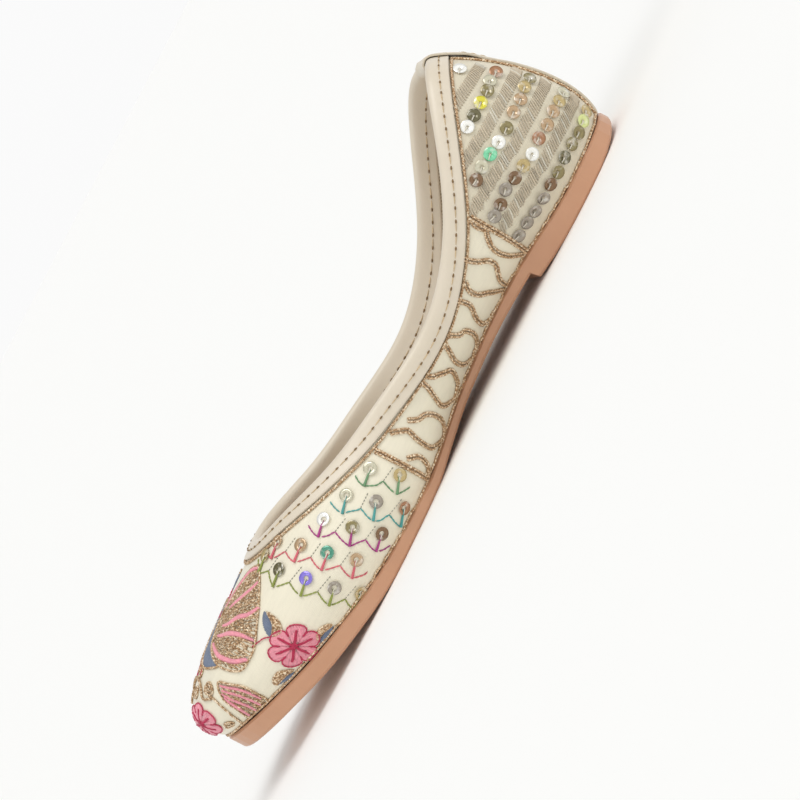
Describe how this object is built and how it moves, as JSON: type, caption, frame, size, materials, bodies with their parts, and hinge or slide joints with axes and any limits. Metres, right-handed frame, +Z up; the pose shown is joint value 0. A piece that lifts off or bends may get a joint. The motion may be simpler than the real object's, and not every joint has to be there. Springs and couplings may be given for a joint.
{
  "type": "mojari shoe",
  "caption": "Flat slip-on mojari shoe with a low open collar, leather-bound edge, embroidered upper, padded insole and moulded sole with a low heel.",
  "frame": {"origin": "on the floor under the middle of the shoe's length and width", "axes": "+Z up, +Y from toe to heel, +X towards the shoe's left side"},
  "size_m": [0.0824, 0.2542, 0.0694],
  "materials": {
    "sole": "satin moulded rubber",
    "sock": "smooth matt",
    "upper": "woven silk with embroidery",
    "binding": "smooth satin",
    "backstay": "smooth satin"
  },
  "bodies": {
    "root": {"outsole": "sole", "insole": "sock", "upper": "upper", "collar_binding": "binding", "backstay": "backstay"}
  },
  "joints": []
}
